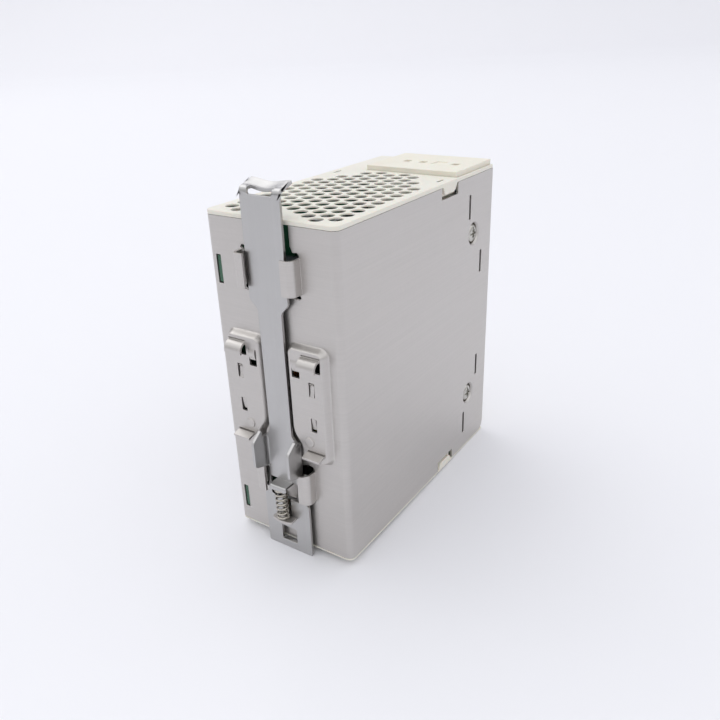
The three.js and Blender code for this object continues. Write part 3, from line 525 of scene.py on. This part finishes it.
def pad_holes(side):
    def hole(inner, outer, low, high, y0=-4, y1=2.0, r=0.35):
        return prism(rect(side * inner, side * outer, low, high, r, 3), "y", y0, y1)

    groove = -(PAD_HEIGHT - 0.7)
    return [
        hole(HOOK_INNER, HOOK_OUTER + 0.3, 78.6, HOOK_TOP - SHEET),
        hole(8, 11.4, 74.9, 81.6),
        hole(15.1, 17.6, 68.8, 74.4),
        hole(15.1, 17.6, 54.7, 60.2),
        hole(HOOK_INNER, HOOK_OUTER + 0.3, HOOK_TOP + 0.15, HOOK_TOP + 0.55, y1=groove, r=0.15),
        hole(HOOK_INNER, HOOK_OUTER + 0.3, SHELF_TOP, SHELF_TOP + 0.4, y1=groove, r=0.15),
    ]


def pad_dot(side):
    """A shallow round boss pressed out of the pad."""
    return lathe("y", side * 14, 50, [(-2.2, 2.0), (-3.1, 1.97), (-3.32, 1.84), (-3.38, 1.5)], 28)


def guide_flap(side, low, high, slope):
    """One flap over the clip's edge; slope raises its upper edge towards the wall."""
    path = fillet([(12.7, -0.85), (11.95, -0.6), (11.85, 3.9), (8, 3.9)], [0, 0.3, 1.5, 0], 9)
    points = bent([(side * x, -out) for x, out in path], -side * SHEET)
    flap = prism(points, "z", low, high + slope)
    if slope:
        above = [(5, high - slope), (8, high), (12, high + slope), (16, high + slope), (16, high + 9),
                 (5, high + 9)]
        flap = build(flap, ("cut", [prism([(side * x, z) for x, z in above], "y", -8, 3)]))
    return flap


def ledge():
    """The spring's lower seat, a T that reaches through the clip's slot, with a stub inside the spring."""
    head, front, half, neck = CLIP_FACE + GAP, CLIP_FACE + 5, 4.6, 1.6
    corners = ((-half, -front + 1.8), (-half, -front), (half, -front), (half, -front + 1.8))
    curve = [Vector(p) for p in corners]
    rounded = [bezier(curve, i / 16) for i in range(17)]
    outline = [(-neck, 0.5), (-neck, -head), (-half, -head)] + rounded
    outline += [(half, -head), (neck, -head), (neck, 0.5)]
    stub = [(LEDGE_TOP - 0.2, 1.25), (LEDGE_TOP + 1.0, 1.2), (LEDGE_TOP + 1.5, 0.8)]
    return [prism(outline, "z", LEDGE_TOP - SHEET, LEDGE_TOP), lathe("z", 0, -SPRING_OUT, stub, 24)]


def dimple(y, z):
    """The bump inside the wall, the dish outside it, with soft lips, and the screw's hole."""
    lips = [(0, 5.2), (0.15, 5.0), (0.8, 4.55), (1.45, 4.25), (1.7, 4.1)]
    dish = [(HALF + 0.3, 5.3), (HALF + 0.01, 5.25)] + [(HALF - d, r) for d, r in lips]
    bump_out = [(INNER + 0.1, 5.4)] + [(INNER - d, r + 0.3) for d, r in lips]
    hole = [(20, 2.2), (HALF, 2.2)]
    return lathe("x", y, z, bump_out, 40), lathe("x", y, z, dish, 40), lathe("x", y, z, hole, 28)


def case_shell():
    corners = [(-20, 0), (DEPTH, 0), (DEPTH, HEIGHT), (-20, HEIGHT)]
    side_view = fillet(corners, [0, 4.6, 0, 0], 12, closed=True)
    steps = [("keep", [prism(side_view, "x", -HALF - 1, HALF + 1)])]

    def rear(x0, x1, z0, z1, r=0.3, y1=1.5):
        return prism(rect(x0, x1, z0, z1, r), "y", -0.5, y1)

    steps.append(("cut", [
        rear(-9, 9, 118, HEIGHT + 5), rear(-8, 8, LEDGE_TOP, 28),
        rear(-24.7, -22.5, 103.4, 114.1), rear(-24.7, -22.5, 6.1, 16.4)]))
    for side in (-1, 1):
        relief = fillet([(6.5, 20.8), (11.4, 20.8), (12.7, 21.3), (11.4, 22.6), (11.4, 34.3), (12.9, 35.4),
                         (12.4, 36.9), (10, 37.4), (8.2, 36.6), (6.5, 35.9)], 0.5, 4, closed=True)
        upper_relief = fillet([(6.5, 103), (11.4, 103), (12.7, 103.6), (11.4, 105.4), (11.4, 117),
                               (12.8, 118.1), (12, 119.3), (10, 119), (9.2, 121), (6.5, 121)],
                              0.5, 4, closed=True)
        steps.append(("cut", [prism([(side * x, z) for x, z in points], "y", -0.5, 1.5)
                              for points in (relief, upper_relief)]))
        steps.append(("join", [pad(side, 0)]))
        steps.append(("cut", [pad(side, SHEET)] + pad_holes(side)))
        steps.append(("join", [rail_hook(side), rail_shelf(side), contact_tongue(side), pad_dot(side)]
                      + small_tongues(side)))
        steps.append(("join", [guide_flap(side, 105.1, 117.5, 0), guide_flap(side, 22.2, 34, 1.2)]))
        wall = sorted((side * (HALF - 2), side * (HALF + 1)))
        steps.append(("cut", [prism(rect(70.1, 84, 123.4, 135, 0.5), "x", *wall),
                              prism(rect(70.1, 84, -6, 4.6, 0.5), "x", *wall)]))
    rib = fillet([(-3, 0.3), (-3, -1.1), (3, -1.1), (3, 0.3)], 0.5)
    ribs = [prism(rib, "z", low, low + 6) for low in (107, 70)]
    tongue = prism(rect(-3.5, 3.5, 19.5, 28.5, 0.4), "y", 0, SHEET)
    steps.append(("join", [tongue] + ribs + ledge()))
    slots = ((95.4, 110.3, 120.6), (107.4, 84.3, 94.5), (106.9, 33.8, 44.2), (95.1, 7.9, 18.6))
    steps.append(("cut", [prism(rect(y - 0.85, y + 0.85, low, high, 0.4), "x", HALF - 2, HALF + 1)
                          for y, low, high in slots]))
    for y, z in SCREWS:
        bump_out, dish, hole = dimple(y, z)
        steps += [("join", [bump_out]), ("cut", [dish, hole])]
    return build(prism(wrap_outline(), "z", 0, HEIGHT), *steps)


drawn("case_shell_fine", case_shell(), "case_shell", STEEL, 0.08, split=True)

# ------------------------------------------------------------------ rail clip and its spring


def clip_outline():
    right = [(FOOT, CLIP_BOTTOM), (FOOT, 19.4), (WIDE, 21.4), (WIDE, 31.3), (WING_OUTER, 32.4),
             (WING_OUTER, 46.2), (NARROW, 49.2), (NARROW, 97.6), (WIDE, 101), (WIDE, CLIP_TOP)]
    radii = [0.6, 1.2, 1.0, 0.5, 0.4, 1.5, 3.0, 3.0, 1.5, 0]
    points = right + [(-x, z) for x, z in reversed(right)]
    return fillet(points, radii + radii[::-1], 6, closed=True)


def clip_wing(side):
    """A flange bent out of the strip's edge, cut to its slanted outline."""
    section = fillet([(4.5, CLIP_BACK), (WING_OUTER, CLIP_BACK), (WING_OUTER, WING_TIP + 2)], 1.9, 8)
    flange = prism(bent([(side * x, -out) for x, out in section], -side * CLIP_SHEET), "z", 32.6, 50)
    outline = [(CLIP_BACK - 1, 32.6), (CLIP_FACE, 32.8), (WING_TIP - 0.9, 34.8), (WING_TIP, 35.8),
               (WING_TIP, 45.4), (WING_TIP - 0.5, 46.2), (WING_NOTCH + 0.6, 49.1), (WING_NOTCH, 49),
               (WING_NOTCH, RAIL_BOTTOM - GAP), (CLIP_BACK - 1, RAIL_BOTTOM - GAP)]
    radii = [0, 0, 0.5, 0.5, 0.5, 0.5, 0.2, 0.2, 0.4, 0]
    profile = [(-out, z) for out, z in fillet(outline, radii, 5, closed=True)]
    return build(flange, ("keep", [prism(profile, "x", -9, 9)]))


def thumb_tab():
    """The strip bends back over the cover and is dished across its width."""
    rings = []
    steps = 28
    for i in range(steps + 1):
        x = WIDE * (2 * i / steps - 1)
        dish = math.cos(math.pi / 2 * x / WIDE) ** 2
        path = [(CLIP_FACE, CLIP_TOP - 2), (CLIP_FACE, CLIP_TOP), (CLIP_FACE - 0.3, CLIP_TOP + 1.1),
                (CLIP_FACE - 1.2, CLIP_TOP + 1.75), (CLIP_FACE - 2.6, CLIP_TOP + 2 - 0.9 * dish),
                (-0.8, CLIP_TOP + 2.3 - 1.4 * dish), (-2.4, CLIP_TOP + 2.8 - 1.3 * dish),
                (-4.3, CLIP_TOP + 3.5 - 0.9 * dish)]
        smooth = fillet([(-out, z) for out, z in path], 3, 5)
        rings.append([(x, y, z) for y, z in bent(smooth, CLIP_SHEET)])
    window = rect(-TAB_WINDOW, TAB_WINDOW, CLIP_TOP - 0.8, CLIP_TOP + 6, 0.5, 4)
    return build(loft(rings), ("cut", [prism(window, "y", -CLIP_FACE - 1, 0.2)]))


def spring_seat():
    """Bent out of the window's top edge, with its front lip turned down over the spring."""
    low, half, front = WINDOW_TOP - CLIP_SHEET, 3.8, CLIP_FACE + 4.85
    path = fillet([(CLIP_BACK, WINDOW_TOP), (front, WINDOW_TOP), (front, low - 0.9)], [0, 1.5, 0], 8)
    seat = prism(bent([(-out, z) for out, z in path], -0.9), "x", -half, half)
    plan = fillet([(-half, -CLIP_BACK + 1), (-half, -CLIP_FACE - 5),
                   (half, -CLIP_FACE - 5), (half, -CLIP_BACK + 1)], 1.1, 6)
    seat = build(seat, ("keep", [prism(plan, "z", low - 2, WINDOW_TOP + 1)]))
    stub = lathe("z", 0, -SPRING_OUT, [(low - 1.5, 0.8), (low - 1.1, 1.2), (low + 0.5, 1.25)], 24)
    return [seat, stub]


def rail_clip():
    def hole(half, low, high, r):
        return prism(rect(-half, half, low, high, r, 5), "y", -CLIP_FACE - 1, 0)

    strip = prism(clip_outline(), "y", -CLIP_FACE, -CLIP_BACK)
    return build(
        strip,
        ("cut", [hole(WINDOW_HALF, WINDOW_BOTTOM, WINDOW_TOP, 0.8),
                 hole(2, LEDGE_TOP - 1.3, WINDOW_BOTTOM + 1, 0.5), hole(3.65, -0.5, 6.3, 0.3),
                 hole(TAB_WINDOW, CLIP_TOP - 0.8, CLIP_TOP + 1, 0),
                 box(-9, -6.3, -3, -1, 33, 46), box(6.3, 9, -3, -1, 33, 46)]),
        ("join", [clip_wing(-1), clip_wing(1), thumb_tab()] + spring_seat()),
    )


def helix(low, high, turns, radius, wire, steps=28, sides=12):
    """A coil spring whose end turns lie close together, as one closed tube."""
    dead = 1.03 * wire
    rings = []
    for i in range(int(turns * steps) + 1):
        turn = i / steps
        z = low + dead + (high - low - 2 * dead) * (turn - 1) / (turns - 2)
        if turn < 1:
            z = low + dead * turn
        if turn > turns - 1:
            z = high - dead * (turns - turn)
        angle = turn * math.tau
        away = Vector((math.cos(angle), math.sin(angle), 0))
        ring = []
        for a, b in circle(0, 0, wire / 2, sides):
            ring.append(tuple(away * (radius + a) + Vector((0, -SPRING_OUT, z + b))))
        rings.append(ring)
    return loft(rings)


drawn("rail_clip_fine", rail_clip(), "rail_clip", CLIP, weld=0.03)
spring_low = LEDGE_TOP + WIRE / 2 + 0.15
spring_high = WINDOW_TOP - CLIP_SHEET - WIRE / 2 - 0.15
coil = helix(spring_low, spring_high, 7.6, SPRING_RADIUS, WIRE)
spring = show("clip_spring_fine", place(coil), "clip_spring", NICKEL, 0)
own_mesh(spring)

# ------------------------------------------------------------------ plastic covers


def cover_plate(notch_left, notch_right, notch_back, inner, outer, ease=0.35):
    """A plate with its outer rim rounded, from its inner face to its outer face."""
    corners = [(-HALF, 0), (HALF, 0), (HALF, COVER_FRONT), (notch_right, COVER_FRONT),
               (notch_right, notch_back), (notch_left, notch_back), (notch_left, COVER_FRONT),
               (-HALF, COVER_FRONT)]
    outline = fillet(corners, [CORNER, CORNER, 0.42, 0.42, 0.4, 0.4, 0.6, 0.6], 8, closed=True)
    way = 1 if outer > inner else -1
    rings = [[(x, y, inner) for x, y in outline]]
    for i in range(5):
        a = math.pi / 2 * i / 4
        level = outer - way * ease * (1 - math.sin(a))
        rings.append([(x, y, level) for x, y in offset(outline, -ease * (1 - math.cos(a)) - 1e-4 * i)])
    return gridded(loft(rings), VENT_COLUMN, VENT_ROW)


def gridded(mesh, step_x, step_y):
    """Splits a plate's wide faces into cells, so that cutting its many holes stays quick."""
    bm = bmesh.new()
    bm.from_mesh(mesh)
    cuts = [((x * step_x + step_x / 2, 0, 0), (1, 0, 0)) for x in range(-5, 5)]
    cuts += [((0, 2 + y * step_y, 0), (0, 1, 0)) for y in range(1, int(DEPTH / step_y))]
    for point, normal in cuts:
        everything = list(bm.verts) + list(bm.edges) + list(bm.faces)
        bmesh.ops.bisect_plane(bm, geom=everything, dist=1e-5, plane_co=point, plane_no=normal)
    bm.to_mesh(mesh)
    bm.free()
    return mesh


def skirt(low, high, gap=0):
    """The wall under a cover. gap is half the width left open behind the clip."""
    out, thick = INNER - GAP, 1.2
    rear = [(-out + 1.5, -gap), (gap, out - 1.5)] if gap else [(-out + 1.5, out - 1.5)]
    return [box(x0, x1, 1.3, 1.3 + thick, low, high) for x0, x1 in rear] + [
        box(-out, -out + thick, 4, 104, low, high), box(out - thick, out, 4, 83, low, high)]


def snap_tongue(side, root, up):
    """A round-ended latch in a notch of the steel wall."""
    corners = [(71.3, -0.1), (72.6, 3.1), (81.2, 3.0), (83.3, -0.1)]
    points = fillet([(y, root + up * reach) for y, reach in corners], [0, 1.6, 1.9, 0], 8)
    return prism(points, "x", *sorted((side * (INNER - 0.9), side * (HALF - 0.1))))


def vents():
    """Nine staggered columns of holes with eased rims."""
    last = (8, 10, 11, 12, 11, 12, 11, 10, 8)
    rim = [(COVER_LOW - 1, 0), (COVER_TOP - 0.22, 0), (COVER_TOP - 0.06, 0.08), (COVER_TOP + 0.1, 0.24)]
    holes = []
    for column, end in enumerate(last):
        start = 8.3 if column % 2 == 0 else 5.1
        for n in range(1 if abs(column - 4) <= 1 else 0, end + 1):
            profile = [(level, VENT_RADIUS + flare) for level, flare in rim]
            holes.append(lathe("z", (column - 4) * VENT_COLUMN, start + n * VENT_ROW, profile, 24))
    return holes


def top_cover():
    slits = [box(x - 0.6, x + 0.6, 73, 78, COVER_LOW - 1, COVER_TOP + 1) for x in (-24.3, 24.3)]
    return build(
        cover_plate(-15.5, 27.1, 84.0, COVER_LOW, COVER_TOP),
        ("cut", [box(-25.3, 25.3, 3, 82.9, COVER_LOW - 1, COVER_TOP - VENT_SHEET)]),
        ("join", skirt(HEIGHT - 3.8, COVER_LOW + 0.2, 9.2)),
        ("join", [snap_tongue(-1, COVER_LOW, -1), snap_tongue(1, COVER_LOW, -1)]),
        ("cut", vents() + slits),
    )


def bottom_cover():
    plate = cover_plate(-13.3, 13.3, 85.7, -0.15, -1.0, 0.3)
    slots = [prism(rect(x - 5, x + 5, y - 1.5, y + 1.5, 1.2), "z", -2, 0)
             for x in (-18.6, -6.2, 6.2, 18.6) for y in [12 + 8.4 * row for row in range(9)]]
    tongues = [snap_tongue(side, -0.15, 1) for side in (-1, 1)]
    return build(plate, ("join", skirt(-0.35, 3.8)), ("join", tongues), ("cut", slots))


drawn("top_cover_fine", top_cover(), "top_cover", IVORY, 0)
drawn("bottom_cover_fine", bottom_cover(), "bottom_cover", IVORY, 0)

# ------------------------------------------------------------------ terminals, front and small parts

for part in ("output_terminal_body", "input_terminal_body", "front_panel", "front_flap"):
    dressed(part, FRONT_IVORY, 0.2)


def case_screw(y, z):
    """Pan head with a six-lobed recess crossed by a slot, in its dimple."""
    seat = HALF - 1.65
    dome = [(0, 3.7), (0.35, 3.78), (0.8, 3.6), (1.15, 3.15), (1.4, 2.5), (1.55, 1.7)]
    head = [(seat + level, r) for level, r in dome]
    shank = lathe("x", y, z, [(20.5, 1.7), (21, 1.9), (seat + 0.1, 1.9)], 24)
    recess = []
    for i in range(72):
        a = math.tau * i / 72
        reach = 1.55 + 0.38 * math.cos(6 * a)
        recess.append((y + reach * math.cos(a), z + reach * math.sin(a)))
    cross = [prism(rect(y - a, y + a, z - b, z + b, 0.2, 3), "x", HALF - 1.0, HALF + 1)
             for a, b in ((2.7, 0.35), (0.35, 2.7))]
    return build(lathe("x", y, z, head, 40), ("join", [shank]),
                 ("cut", [prism(recess, "x", HALF - 1.25, HALF + 1)] + cross))


for part, (y, z) in zip(("case_screw_upper", "case_screw_lower"), SCREWS):
    drawn(f"{part}_fine", case_screw(y, z), part, ZINC, 0.06)

PLAIN = {
    **{f"output_screw_{i}": ZINC for i in range(1, 5)},
    **{f"input_screw_{i}": ZINC for i in range(1, 4)},
    **{f"output_clamp_{i}": NICKEL for i in range(1, 5)},
    **{f"input_clamp_{i}": NICKEL for i in range(1, 4)},
    "main_board": BOARD,
    "front_board": BOARD,
    "insulation_sheet": FILM,
    "heat_spreader": ALUMINIUM,
    "thermal_pad": SILICONE,
    "output_heatsink": ALUMINIUM,
    "transformer_core": FERRITE,
    "transformer_coil": TAPE,
    "boost_choke_core": FERRITE,
    "boost_choke_coil": COPPER,
    "filter_choke_core": FERRITE,
    "filter_choke_coil": COPPER,
    "bulk_capacitor": SLEEVE,
    **{f"output_capacitor_{i}": SLEEVE for i in range(1, 4)},
    "line_capacitor": YELLOW,
    "relay": EPOXY,
    "inrush_thermistor": SLEEVE,
    "fuse": CERAMIC,
    "power_transistor": EPOXY,
    "output_rectifier": EPOXY,
    "bridge_rectifier": EPOXY,
    "trim_pot_body": BLUE,
    "trim_pot_rotor": WHITE,
    "mode_switch_body": SLEEVE,
    "mode_switch_knob": WHITE,
    "status_light_1": LIGHT,
    "status_light_2": LIGHT,
}
for part, finish in PLAIN.items():
    dressed(part, finish, 0 if part == "insulation_sheet" else 0.15)

# ------------------------------------------------------------------ camera, floor and light


def camera():
    eye = Vector((154.56, -175.09, 185.79))
    right, up = Vector((0.8343, 0.5503, -0.0333)), Vector((-0.2086, 0.3711, 0.9049))
    back = right.cross(up).normalized()
    up = back.cross(right).normalized()
    data = bpy.data.cameras.new("camera")
    data.lens = 35.86
    data.sensor_width = 36
    data.clip_start, data.clip_end = 0.01, 50
    obj = bpy.data.objects.new("camera", data)
    turn = Matrix((right.normalized(), up, back)).transposed().to_4x4()
    obj.matrix_world = Matrix.Translation((eye + SHIFT) * MM) @ turn
    bpy.context.scene.collection.objects.link(obj)
    bpy.context.scene.camera = obj


def floor():
    """A pale sheet that curves up behind the object. It tips so that both the clip's foot and
    the lower front edge of the case touch it."""
    heel, toe = Vector((-CLIP_FACE, CLIP_BOTTOM)), Vector((DEPTH - 4.6, -1.0))
    slope = math.atan2(toe.y - heel.y, toe.x - heel.x)
    front, flat_end, radius, top, half = -5000, 2600, 1500, 4500, 7000
    section = [(front, 0), (flat_end, 0)]
    for i in range(1, 25):
        a = math.pi / 2 * i / 24
        section.append((flat_end + radius * math.sin(a), radius - radius * math.cos(a)))
    section.append((flat_end + radius, top))
    verts, faces = [], []
    for i, (along, height) in enumerate(section):
        for x in (-half, half):
            verts.append((x, along, height))
        if i:
            faces.append((2 * i - 2, 2 * i - 1, 2 * i + 1, 2 * i))
    mesh = bpy.data.meshes.new("floor")
    mesh.from_pydata(verts, [], faces)
    mesh.shade_smooth()
    material, tree, shader = nodes_of("floor_paper")
    clouds = noise(tree, object_points(tree, (3, 3, 3)), 2.0).outputs[0]
    tree.links.new(mix(tree, clouds, (0.80, 0.80, 0.835), (0.82, 0.82, 0.855)), shader.inputs["Base Color"])
    shader.inputs["Roughness"].default_value = 0.6
    mesh.materials.append(material)
    obj = bpy.data.objects.new("floor", mesh)
    turned = Matrix.Rotation(math.radians(33.4), 4, "Z")
    at = (Vector((0, heel.x, heel.y - 0.05)) + SHIFT) * MM
    obj.matrix_world = Matrix.Translation(at) @ Matrix.Rotation(slope, 4, "X") @ turned @ Matrix.Scale(MM, 4)
    bpy.context.scene.collection.objects.link(obj)


def lamp(name, place_at, target, size, power, colour):
    """A rectangular lamp that faces its target, in metres and watts."""
    data = bpy.data.lights.new(name, "AREA")
    data.shape = "RECTANGLE"
    data.size, data.size_y = size
    data.energy = power
    data.color = colour
    obj = bpy.data.objects.new(name, data)
    obj.location = place_at
    obj.rotation_euler = (Vector(target) - Vector(place_at)).to_track_quat("-Z", "Y").to_euler()
    bpy.context.scene.collection.objects.link(obj)


def world(overhead, horizon, strength):
    """A bright ceiling over a dimmer room."""
    made = bpy.data.worlds.new("studio")
    made.use_nodes = True
    tree = made.node_tree
    direction = node(tree, "ShaderNodeTexCoord").outputs["Generated"]
    height = node(tree, "ShaderNodeSeparateXYZ", {0: direction}).outputs[2]
    colour = mix(tree, ramp(tree, height, 0.02, 0.5, 0, 1), horizon, overhead)
    background = tree.nodes["Background"]
    tree.links.new(colour, background.inputs["Color"])
    background.inputs["Strength"].default_value = strength
    bpy.context.scene.world = made


camera()
floor()
world((0.97, 0.98, 1.0), (0.34, 0.33, 0.33), 1.17)
lamp("key", (-2.2, 0.6, 2.8), (0, 0, 0.05), (3.0, 3.0), 24, (1, 0.99, 0.98))
bpy.context.scene.view_settings.view_transform = "Standard"
